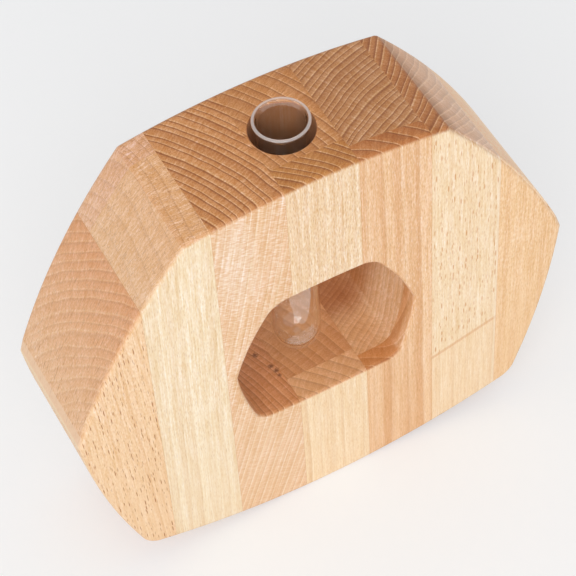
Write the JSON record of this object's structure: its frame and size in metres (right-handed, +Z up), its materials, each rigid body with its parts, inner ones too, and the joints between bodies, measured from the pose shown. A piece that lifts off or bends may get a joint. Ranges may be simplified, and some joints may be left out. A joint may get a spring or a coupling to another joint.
{
  "type": "wooden bud vase with glass tube",
  "caption": "Bowed six-sided wooden block with a matching window through its middle and a glass test tube standing in a bore from the crown.",
  "frame": {"origin": "middle of the flat that the block stands on", "axes": "+X across the block to the right as seen from the front, +Y from the front face to the back face, +Z up along the tube"},
  "size_m": [0.2122, 0.055, 0.1966],
  "materials": {
    "stave_1": "sanded beech with a thin oil finish, glue lines flush",
    "stave_2_front": "sanded beech with a thin oil finish, glue lines flush",
    "stave_2_back": "sanded beech with a thin oil finish, glue lines flush",
    "stave_3": "sanded beech with a thin oil finish, glue lines flush",
    "stave_4_upper_front": "sanded beech with a thin oil finish, glue lines flush",
    "stave_4_upper_back": "sanded beech with a thin oil finish, glue lines flush",
    "stave_4_lower_front": "sanded beech with a thin oil finish, glue lines flush",
    "stave_4_lower_back": "sanded beech with a thin oil finish, glue lines flush",
    "stave_5_front": "sanded beech with a thin oil finish, glue lines flush",
    "stave_5_back": "sanded beech with a thin oil finish, glue lines flush",
    "stave_6_upper": "sanded beech with a thin oil finish, glue lines flush",
    "stave_6_lower": "sanded beech with a thin oil finish, glue lines flush",
    "stave_7": "sanded beech with a thin oil finish, glue lines flush",
    "glass_tube": "clear, fire-polished lip"
  },
  "bodies": {
    "block": {"stave_1": "stave_1", "stave_2_front": "stave_2_front", "stave_2_back": "stave_2_back", "stave_3": "stave_3", "stave_4_upper_front": "stave_4_upper_front", "stave_4_upper_back": "stave_4_upper_back", "stave_4_lower_front": "stave_4_lower_front", "stave_4_lower_back": "stave_4_lower_back", "stave_5_front": "stave_5_front", "stave_5_back": "stave_5_back", "stave_6_upper": "stave_6_upper", "stave_6_lower": "stave_6_lower", "stave_7": "stave_7"},
    "tube": {"glass_tube": "glass_tube"}
  },
  "joints": [
    {"name": "tube_lift", "type": "slide", "parent": "block", "child": "tube", "axis": [0, 0, 1], "range_m": [0, 0.14]}
  ]
}
